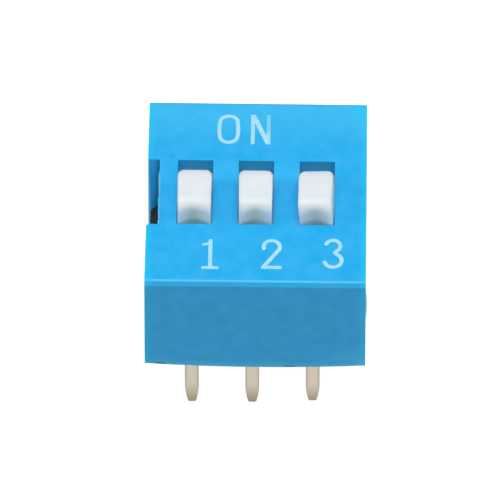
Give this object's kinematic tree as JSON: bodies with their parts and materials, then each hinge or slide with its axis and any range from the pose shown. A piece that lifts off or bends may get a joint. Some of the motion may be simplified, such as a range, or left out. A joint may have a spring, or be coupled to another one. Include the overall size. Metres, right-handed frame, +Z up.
{
  "type": "dip switch",
  "caption": "Small slide DIP switch for a circuit board: a blue cover with white knobs in slots, on a dark base with two rows of flat legs.",
  "frame": {"origin": "centre of the seating plane, on the underside of the moulded base", "axes": "+X along the row from position 1 to position 3, +Y from the numbered side to the ON side, +Z up through the cover's top"},
  "size_m": [0.0093, 0.0098, 0.0103],
  "materials": {
    "cover_plastic": "moulded",
    "base_plastic": "moulded",
    "knob_plastic": "moulded",
    "tinned_sheet": "satin",
    "contact_sheet": "satin",
    "ink": "printed"
  },
  "bodies": {
    "housing": {"cover": "cover_plastic", "base": "base_plastic", "terminal_front_1": "tinned_sheet", "terminal_front_2": "tinned_sheet", "terminal_front_3": "tinned_sheet", "terminal_rear_1": "tinned_sheet", "terminal_rear_2": "tinned_sheet", "terminal_rear_3": "tinned_sheet", "print_on": "ink", "print_1": "ink", "print_2": "ink", "print_3": "ink"},
    "slider_1": {"actuator_1": "knob_plastic", "moving_contact_1": "contact_sheet"},
    "slider_2": {"actuator_2": "knob_plastic", "moving_contact_2": "contact_sheet"},
    "slider_3": {"actuator_3": "knob_plastic", "moving_contact_3": "contact_sheet"}
  },
  "joints": [
    {"name": "slide_1", "type": "slide", "parent": "housing", "child": "slider_1", "axis": [0, 1, 0], "range_m": [0, 0.00102]},
    {"name": "slide_2", "type": "slide", "parent": "housing", "child": "slider_2", "axis": [0, 1, 0], "range_m": [0, 0.00102]},
    {"name": "slide_3", "type": "slide", "parent": "housing", "child": "slider_3", "axis": [0, 1, 0], "range_m": [0, 0.00102]}
  ]
}
